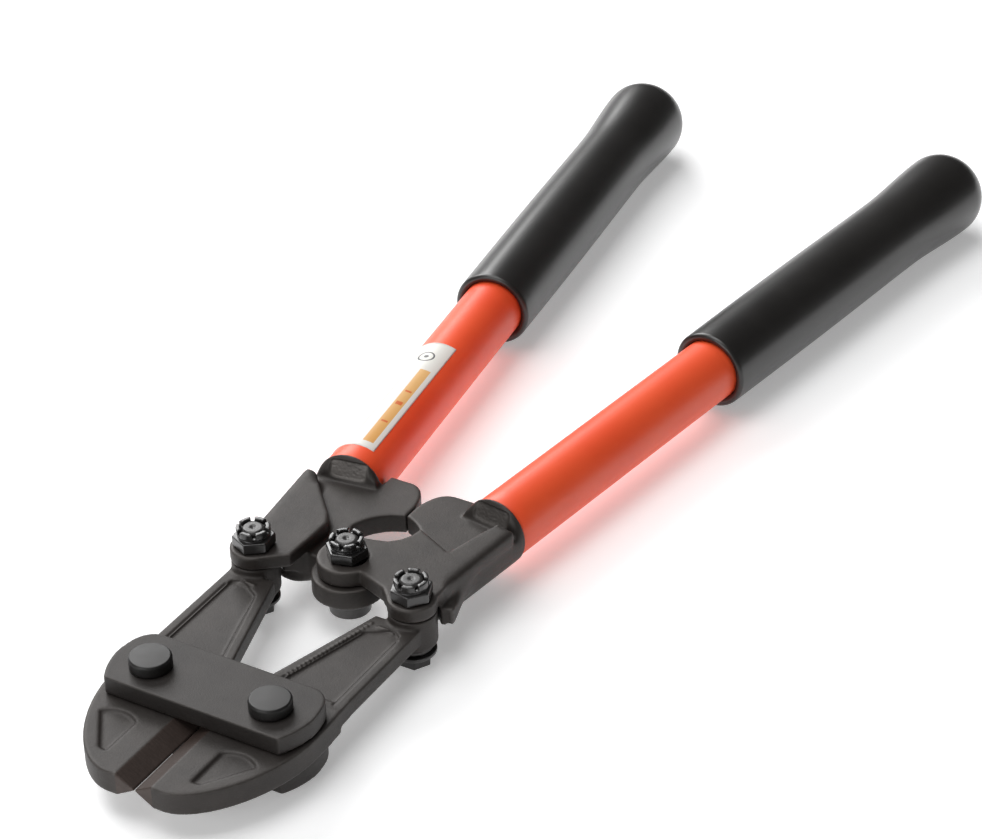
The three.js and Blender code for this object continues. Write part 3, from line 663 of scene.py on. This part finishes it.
# The paleness numbers hold painted light: the left collar face is painted paler than the right
# one.
for name, side, seed, paleness_and_painted_light in (("left", 1, 11.0, 2.2), ("right", -1, 17.0, 0.9)):
    forging = copy_of_node(f"forged_head_{name}", f"handle_forging_{name}")
    remeshed(forging, FORGING_VOXEL)
    soften(forging, passes=6)
    soften(forging, passes=60, share=round_body(side))
    press_collar_face(forging, side, paleness_and_painted_light)
    mark_edges(forging, FORGING_VOXEL)
    give_skin(forging, handle_finish, height=0.14 * MM, detail=120.0, seed=seed)
    mount_piece(forging, f"handle_{name}", "forged_steel", f"handle_forging_{name}")

# ---- Pivot bolts, spacers and slotted nuts ----------------------------------------------------
# Flanged bolts come up from below through a thin spacer, with a hexagon head at the handles and
# a round one at the centre. Each takes a slotted nut with a round crown, and the bolt's
# chamfered end shows inside the crown. All are in glossy oiled black oxide.

HEXAGON_FOOT_RADIUS = 12.2 * MM / math.sqrt(3)
HEXAGON_HEIGHT = 3.6 * MM
CROWN_STEP = 0.9 * MM
SLOT_LENGTH = 30 * MM
BORE_LENGTH = 60 * MM
ROUND_STEPS = 64
SLOTS_ACROSS = 3
NUT_VOXEL = 0.16 * MM
PIVOT_RADIUS = 3.8 * MM
FLANGE_HEIGHT = 2 * MM
HEAD_HEIGHT = 3.3 * MM
HEAD_OVERLAP = 0.4 * MM
HEAD_HEXAGON_RADIUS = 10 * MM / math.sqrt(3)
CENTRE_HEAD_RADIUS = 6.8 * MM
BOLT_VOXEL = 0.2 * MM

# Geometry Nodes: a chamfered hexagon, a neck and a crown, bored through and slotted across
nut_tree = bpy.data.node_groups.new("slotted_nut", "GeometryNodeTree")
add_socket(nut_tree, "Geometry", "NodeSocketGeometry")
NUT_INPUTS = {
    name: add_socket(nut_tree, name, "NodeSocketFloat", value)
    for name, value in (
        ("Hexagon radius", 7.04 * MM), ("Hexagon height", HEXAGON_HEIGHT),
        ("Chamfer radius", 15.4 * MM), ("Chamfer rise", 8.66 * MM), ("Neck radius", 5.1 * MM),
        ("Crown radius", 5.6 * MM), ("Crown height", 3.2 * MM), ("Slot width", 1.25 * MM),
        ("Slot depth", 1.7 * MM), ("Bore radius", 4.0 * MM))
}
NUT_SLOTS = add_socket(nut_tree, "Slots across", "NodeSocketInt", SLOTS_ACROSS)
NUT_MATERIAL = add_socket(nut_tree, "Material", "NodeSocketMaterial")
add_socket(nut_tree, "Geometry", "NodeSocketGeometry", direction="OUTPUT")
nut_in = add_node(nut_tree, "NodeGroupInput")


def nut_size(name):
    return nut_in.outputs[name]


def nut_math(operation, *values):
    return add_node(
        nut_tree, "ShaderNodeMath", dict(enumerate(values)), operation=operation).outputs[0]


def nut_vector(**parts):
    return add_node(nut_tree, "ShaderNodeCombineXYZ", parts).outputs[0]


def nut_moved(mesh, way):
    return add_node(nut_tree, "GeometryNodeTransform", {
        "Geometry": mesh, "Translation": way}).outputs[0]


def nut_cylinder(radius, depth, foot=0.0, steps=ROUND_STEPS):
    """An upright cylinder whose underside stands at a height."""
    body = add_node(nut_tree, "GeometryNodeMeshCylinder", {
        "Vertices": steps, "Radius": radius, "Depth": depth})
    return nut_moved(
        body.outputs["Mesh"], nut_vector(Z=nut_math("MULTIPLY_ADD", depth, 0.5, foot)))


def nut_boolean(operation, *meshes):
    """Joins or crosses the meshes, or takes all the others out of the first."""
    result = add_node(nut_tree, "GeometryNodeMeshBoolean", {"Self Intersection": True},
                      operation=operation, solver="EXACT")
    for i, mesh in enumerate(meshes):
        kept = operation == "DIFFERENCE" and i == 0
        nut_tree.links.new(mesh, result.inputs["Mesh 1" if kept else "Mesh 2"])
    return result.outputs["Mesh"]


crown_top = nut_math("ADD", nut_size("Hexagon height"), nut_size("Crown height"))
crown_foot = nut_math("ADD", nut_size("Hexagon height"), CROWN_STEP)
crown_depth = nut_math("SUBTRACT", nut_size("Crown height"), CROWN_STEP)
chamfer_cone = add_node(nut_tree, "GeometryNodeMeshCone", {
    "Vertices": ROUND_STEPS, "Radius Top": 0.0,
    "Radius Bottom": nut_size("Chamfer radius"), "Depth": nut_size("Chamfer rise")})
hexagon = nut_boolean(
    "INTERSECT", nut_cylinder(nut_size("Hexagon radius"), nut_size("Hexagon height"), steps=6),
    chamfer_cone.outputs["Mesh"])
whole = nut_boolean(
    "UNION", hexagon, nut_cylinder(nut_size("Neck radius"), crown_top),
    nut_cylinder(nut_size("Crown radius"), crown_depth, crown_foot))
slot_cutter = add_node(nut_tree, "GeometryNodeMeshCube", {"Size": nut_vector(
    X=SLOT_LENGTH, Y=nut_size("Slot width"), Z=nut_math("MULTIPLY", nut_size("Slot depth"), 2.0))})
spots = add_node(nut_tree, "GeometryNodeMeshLine", {
    "Count": nut_size("Slots across"), "Offset": (0, 0, 0)})
spot_order = add_node(nut_tree, "GeometryNodeInputIndex").outputs[0]
spot_share = nut_math("DIVIDE", spot_order, nut_size("Slots across"))
spot_turn = nut_vector(Z=nut_math("MULTIPLY_ADD", spot_share, math.pi, math.pi / 6))
spot_rotation = add_node(nut_tree, "FunctionNodeEulerToRotation", {0: spot_turn})
slots = add_node(nut_tree, "GeometryNodeInstanceOnPoints", {
    "Points": spots.outputs[0], "Instance": slot_cutter.outputs["Mesh"],
    "Rotation": spot_rotation.outputs[0]})
slots_real = add_node(nut_tree, "GeometryNodeRealizeInstances", {
    0: nut_moved(slots.outputs[0], nut_vector(Z=crown_top))})
bore_hole = nut_cylinder(nut_size("Bore radius"), BORE_LENGTH, -BORE_LENGTH / 2)
whole = nut_boolean("DIFFERENCE", whole, bore_hole, slots_real.outputs[0])
nut_real = add_node(nut_tree, "GeometryNodeRealizeInstances", {0: whole})
nut_paint = add_node(nut_tree, "GeometryNodeSetMaterial", {
    "Geometry": nut_real.outputs[0], "Material": nut_size("Material")})
add_node(nut_tree, "NodeGroupOutput", {0: nut_paint.outputs[0]})

nut_finish = black_oxide(
    "nut_black_oxide", (0.03, 0.0285, 0.028), roughness=0.3, coat=0.5)
centre_nut_finish = black_oxide(
    "centre_nut_black", (0.014, 0.0135, 0.0135), roughness=0.24, coat=0.7)
bolt_end_finish = black_oxide(
    "bolt_steel", (0.05, 0.048, 0.047), roughness=0.36, coat=0.2)


def slotted_nut(name, node, turn, finish):
    low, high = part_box(node)
    nut = new_piece(name, bpy.data.meshes.new(name))
    maker = nut.modifiers.new("slotted_nut", "NODES")
    maker.node_group = nut_tree
    maker[NUT_INPUTS["Hexagon radius"]] = HEXAGON_FOOT_RADIUS
    maker[NUT_INPUTS["Hexagon height"]] = HEXAGON_HEIGHT
    maker[NUT_INPUTS["Crown height"]] = high.z - low.z - HEXAGON_HEIGHT
    maker[NUT_SLOTS] = SLOTS_ACROSS
    maker[NUT_MATERIAL] = finish
    evaluated_mesh(nut)
    centre = (low + high) / 2
    spin = Matrix.Rotation(turn, 4, "Z")
    nut.data.transform(Matrix.Translation((centre.x, centre.y, low.z)) @ spin)
    remeshed(nut, NUT_VOXEL)
    soften(nut, passes=10)
    finish_with(nut, finish)
    return nut


def pivot_bolt(name, node, finish, sides, head_radius):
    """Head of so many sides, flange and shank in one closed net."""
    centre, flange_radius, foot, top = size_of(node)
    flange_foot = foot + HEAD_HEIGHT
    seat = flange_foot + FLANGE_HEIGHT
    work = bmesh.new()
    bmesh.ops.create_cone(
        work, cap_ends=True, segments=sides, radius1=head_radius,
        radius2=head_radius, depth=HEAD_HEIGHT + HEAD_OVERLAP)
    bmesh.ops.translate(work, verts=work.verts, vec=(
        centre.x, centre.y, foot + HEAD_HEIGHT / 2 + HEAD_OVERLAP / 2))
    head = bpy.data.meshes.new(name)
    work.to_mesh(head)
    work.free()
    bolt = new_piece(name, head)
    shank = turned_piece(f"{name}_shank", centre, [
        (0, flange_foot), (flange_radius - 1.1 * MM, flange_foot),
        (flange_radius, flange_foot + 0.8 * MM), (flange_radius, seat),
        (PIVOT_RADIUS, seat), (PIVOT_RADIUS, top - 0.7 * MM),
        (PIVOT_RADIUS - 0.8 * MM, top), (1.1 * MM, top), (0.3 * MM, top - 0.5 * MM),
        (0, top - 0.5 * MM),
    ])
    join = bolt.modifiers.new("join", "BOOLEAN")
    join.operation = "UNION"
    join.object = shank
    bpy.context.view_layer.update()
    evaluated_mesh(bolt)
    bpy.data.objects.remove(shank)
    remeshed(bolt, BOLT_VOXEL)
    soften(bolt, passes=3)
    finish_with(bolt, finish)
    return bolt


def ring_spacer(name, node, finish):
    centre, radius, foot, top = size_of(node)
    bore = PIVOT_RADIUS + RUNNING_GAP
    edge = 0.3 * MM
    ring = turned_piece(name, centre, [
        (bore, foot), (radius - edge, foot), (radius, foot + edge), (radius, top - edge),
        (radius - edge, top), (bore, top),
    ])
    finish_with(ring, finish)
    return ring


for place, body, turn, finish, sides, head_radius in (
        ("handle_{}_left", "handle_left", 0.1, nut_finish, 6, HEAD_HEXAGON_RADIUS),
        ("handle_{}_right", "handle_right", 0.35, nut_finish, 6, HEAD_HEXAGON_RADIUS),
        ("centre_{}", "handle_left", -0.25, centre_nut_finish, 48, CENTRE_HEAD_RADIUS)):
    nut_node, bolt_node, spacer_node = (place.format(p) for p in ("nut", "bolt", "spacer"))
    mount_piece(slotted_nut(f"slotted_{nut_node}", nut_node, turn, finish),
                body, "black_oxide", nut_node)
    bolt = pivot_bolt(f"flanged_{bolt_node}", bolt_node, bolt_end_finish, sides, head_radius)
    mount_piece(bolt, body, "black_oxide", bolt_node)
    mount_piece(ring_spacer(f"ring_{spacer_node}", spacer_node, bolt_end_finish),
                body, "black_oxide", spacer_node)

# ---- Handle tubes -----------------------------------------------------------------------------
# Standard 22.2 mm steel tube, cut square, pressed on the forging's spigot and powder coated
# orange red. The coating is satin, with a faint orange-peel texture.

TUBE_RADIUS = 11.1 * MM
TUBE_WALL = 1.8 * MM
TUBE_START = 54.12 * MM
TUBE_END = 316 * MM


def handle_axis(side):
    """Turns an upright piece on to a handle's axis, from beside the handle pivot."""
    foot = Vector((
        HANDLE_PIVOT.x + AXIS_INSET * math.sin(HANDLE_ANGLE),
        side * (HANDLE_PIVOT.y - AXIS_INSET * math.cos(HANDLE_ANGLE)),
        AXIS_Z))
    lie_down = Matrix.Rotation(math.pi / 2, 4, "Y")
    return Matrix.Translation(foot) @ Matrix.Rotation(side * HANDLE_ANGLE, 4, "Z") @ lie_down


def powder_coat(name, deep, pale):
    material, tree, shader = new_material(name)
    place = object_place(tree)
    peel = noise(tree, place, 700.0, 2.0)
    feed(tree, shader, {
        "Base Color": two_tones(tree, noise(tree, place, 30.0, 4.0), 0.3, deep, 0.75, pale),
        "Roughness": ranged(tree, peel, 0.4, 0.54),
        "Coat Weight": 0.25,
        "Coat Roughness": 0.3,
        "Normal": bumped(tree, peel, 0.35, 0.06 * MM)})
    return material


tube_finish = powder_coat("orange_powder_coat", (0.95, 0.085, 0.022), (1.0, 0.115, 0.033))

for name, side in (("left", 1), ("right", -1)):
    inner = TUBE_RADIUS - TUBE_WALL + RUNNING_GAP
    edge = 0.35 * MM
    outline = [
        (inner, TUBE_START + edge), (inner + edge, TUBE_START),
        (TUBE_RADIUS - edge, TUBE_START), (TUBE_RADIUS - 0.1 * MM, TUBE_START + 0.1 * MM),
        (TUBE_RADIUS, TUBE_START + edge)]
    outline += [
        (TUBE_RADIUS, TUBE_START + (TUBE_END - TUBE_START) * i / 40) for i in range(1, 40)]
    outline += [
        (TUBE_RADIUS, TUBE_END - edge), (TUBE_RADIUS - edge, TUBE_END),
        (inner + edge, TUBE_END), (inner, TUBE_END - edge)]
    tube = turned_piece(f"coated_tube_{name}", (0, 0), outline, steps=144)
    tube.data.transform(handle_axis(side))
    finish_with(tube, tube_finish)
    mount_piece(tube, f"handle_{name}", "orange_powder_coat", f"tube_{name}")

# ---- Grips ------------------------------------------------------------------------------------
# Black vinyl sleeves with a rolled mouth, a long smooth barrel, a slight waist and a rounded
# bulb at the end. Moulded, glossy, and pushed over the tube.

GRIP_START = 174 * MM
GRIP_END = 343.5 * MM
GRIP_RADIUS = 14.1 * MM
GRIP_LIP = 1.5 * MM
BARREL_SWELL = 0.22 * MM
BARREL_TAPER = 0.12 * MM
BARREL_SHORTER = 56 * MM
BULB_RADIUS = 15.9 * MM
END_WALL = 12 * MM


def moulded_vinyl(name, deep, pale):
    material, tree, shader = new_material(name)
    place = object_place(tree)
    cloud = noise(tree, place, 60.0, 4.0)
    feed(tree, shader, {
        "Base Color": two_tones(tree, cloud, 0.3, deep, 0.75, pale),
        "Roughness": ranged(tree, cloud, 0.33, 0.43),
        "Specular IOR Level": 0.5,
        "Coat Weight": 0.35,
        "Coat Roughness": 0.22,
        "Normal": bumped(tree, noise(tree, place, 420.0, 3.0), 0.25, 0.06 * MM)})
    return material


def grip_outline():
    """Half section of a grip from its bore, round the rolled mouth and back to its closed end."""
    bore = TUBE_RADIUS + 0.12 * MM
    outline = [
        (bore, GRIP_START + 1.6 * MM), (bore + 0.15 * MM, GRIP_START + 0.7 * MM),
        (bore + 0.5 * MM, GRIP_START + 0.35 * MM),
        (GRIP_RADIUS - 1.9 * MM, GRIP_START + 0.25 * MM)]
    for i in range(13):
        turn = math.pi * (1.5 - 0.5 * i / 12)
        outline.append((
            GRIP_RADIUS - GRIP_LIP - 0.05 * MM - GRIP_LIP * math.cos(turn),
            GRIP_START + GRIP_LIP + GRIP_LIP * math.sin(turn)))
    barrel = GRIP_END - GRIP_START - BARREL_SHORTER
    for i in range(1, 41):
        share = i / 40
        swell = BARREL_SWELL * math.sin(math.pi * min(1, share * 1.1)) + BARREL_TAPER * share
        outline.append((GRIP_RADIUS + swell, GRIP_START + 4.2 * MM + share * barrel))
    waist = outline[-1]
    bulb_middle = GRIP_END - BULB_RADIUS * 0.88
    for i in range(1, 25):
        share = i / 24
        ease = share * share * (3 - 2 * share)
        outline.append((
            waist[0] + (BULB_RADIUS - waist[0]) * ease,
            waist[1] + (bulb_middle - waist[1]) * share))
    for i in range(1, 17):
        turn = math.pi / 2 * i / 16
        outline.append((
            BULB_RADIUS * math.cos(turn),
            bulb_middle + (GRIP_END - bulb_middle) * math.sin(turn)))
    outline[-1] = (0, GRIP_END)
    return outline + [(0, GRIP_END - END_WALL), (bore, GRIP_END - END_WALL)]


grip_finish = moulded_vinyl(
    "black_moulded_vinyl", (0.0125, 0.0112, 0.0105), (0.017, 0.0155, 0.0145))

for name, side in (("left", 1), ("right", -1)):
    grip = turned_piece(f"vinyl_grip_{name}", (0, 0), grip_outline(), steps=160)
    grip.data.transform(handle_axis(side))
    finish_with(grip, grip_finish)
    mount_piece(grip, f"handle_{name}", "black_vinyl", f"grip_{name}")

# ---- Label ------------------------------------------------------------------------------------
# A printed film wrapped over the left tube: white ground, a gold to orange band in cells along
# its inner side, a plain ring mark near the far end and fine grey rules. It carries no wording.

LABEL_RADIUS = TUBE_RADIUS + 0.1 * MM
LABEL_THICK = 0.2 * MM
LABEL_START = 61 * MM
LABEL_LENGTH = 69 * MM
LABEL_MIDDLE = math.radians(70)
LABEL_WRAP = math.radians(100)
LABEL_ROWS = 60
LABEL_COLUMNS = 40
RULE_WIDTH = 0.018
RING_MIDDLE = (0.86, 0.62, 0)


def wrapped_label():
    work = bmesh.new()
    uv = work.loops.layers.uv.new("film")
    grid = []
    for i in range(LABEL_ROWS + 1):
        along = i / LABEL_ROWS
        ring = []
        for j in range(LABEL_COLUMNS + 1):
            round_share = j / LABEL_COLUMNS
            turn = LABEL_MIDDLE + LABEL_WRAP * (round_share - 0.5)
            vert = work.verts.new((
                LABEL_START + LABEL_LENGTH * along,
                LABEL_RADIUS * math.cos(turn),
                LABEL_RADIUS * math.sin(turn)))
            ring.append((vert, (along, round_share)))
        grid.append(ring)
    for i in range(LABEL_ROWS):
        for j in range(LABEL_COLUMNS):
            corners = (grid[i][j], grid[i + 1][j], grid[i + 1][j + 1], grid[i][j + 1])
            face = work.faces.new([corner[0] for corner in corners])
            for loop, corner in zip(face.loops, corners):
                loop[uv].uv = corner[1]
    mesh = bpy.data.meshes.new("film_label")
    work.to_mesh(mesh)
    work.free()
    foot = handle_axis(1).translation
    mesh.transform(Matrix.Translation(foot) @ Matrix.Rotation(HANDLE_ANGLE, 4, "Z"))
    return new_piece("film_label", mesh)


def printed_film():
    material, tree, shader = new_material("printed_film")
    film = add_node(tree, "ShaderNodeUVMap", uv_map="film").outputs[0]
    axes = add_node(tree, "ShaderNodeSeparateXYZ", {0: film})

    def maths(operation, *values):
        return add_node(
            tree, "ShaderNodeMath", dict(enumerate(values)), operation=operation).outputs[0]

    def vector_maths(operation, *values):
        return add_node(
            tree, "ShaderNodeVectorMath", dict(enumerate(values)), operation=operation).outputs

    def window(axis, low, high):
        """1 between two places along one axis of the film, else 0."""
        away = maths("ABSOLUTE", maths("SUBTRACT", axes.outputs[axis], (low + high) / 2))
        return maths("LESS_THAN", away, (high - low) / 2)

    def cell(left, right, low, high):
        return maths("MULTIPLY", window("X", left, right), window("Y", low, high))

    gold = two_tones(tree, axes.outputs["X"], 0.0, (0.78, 0.4, 0.12), 1.0, (0.84, 0.52, 0.22))
    colour = blend_colours(tree, cell(0.05, 0.74, 0.7, 0.9), (0.84, 0.82, 0.77, 1), gold)
    for left, right in ((0.235, 0.25), (0.4, 0.43), (0.52, 0.535)):
        colour = blend_colours(
            tree, cell(left, right, 0.74, 0.86), colour, (0.7, 0.16, 0.04, 1))
    for low in (0.28, 0.37, 0.46, 0.55):
        colour = blend_colours(
            tree, cell(0.1, 0.66, low, low + RULE_WIDTH), colour, (0.62, 0.61, 0.6, 1))
    aim = vector_maths("SUBTRACT", film, RING_MIDDLE)[0]
    spread = vector_maths(
        "MULTIPLY", aim, (LABEL_LENGTH / MM, LABEL_WRAP * LABEL_RADIUS / MM, 0))[0]
    reach = vector_maths("LENGTH", spread)["Value"]
    for low, high in ((2.5, 3.1), (-0.9, 0.9)):
        ring = maths("COMPARE", reach, (low + high) / 2, (high - low) / 2)
        colour = blend_colours(tree, ring, colour, (0.09, 0.09, 0.095, 1))
    ripple = noise(tree, object_place(tree), 160.0, 2.0)
    feed(tree, shader, {
        "Base Color": colour,
        "Roughness": 0.38,
        "Normal": bumped(tree, ripple, 0.2, 0.05 * MM)})
    return material


label = wrapped_label()
film = label.modifiers.new("film", "SOLIDIFY")
film.thickness = LABEL_THICK
film.offset = 1
evaluated_mesh(label)
finish_with(label, printed_film())
mount_piece(label, "handle_left", "label_film", "label")
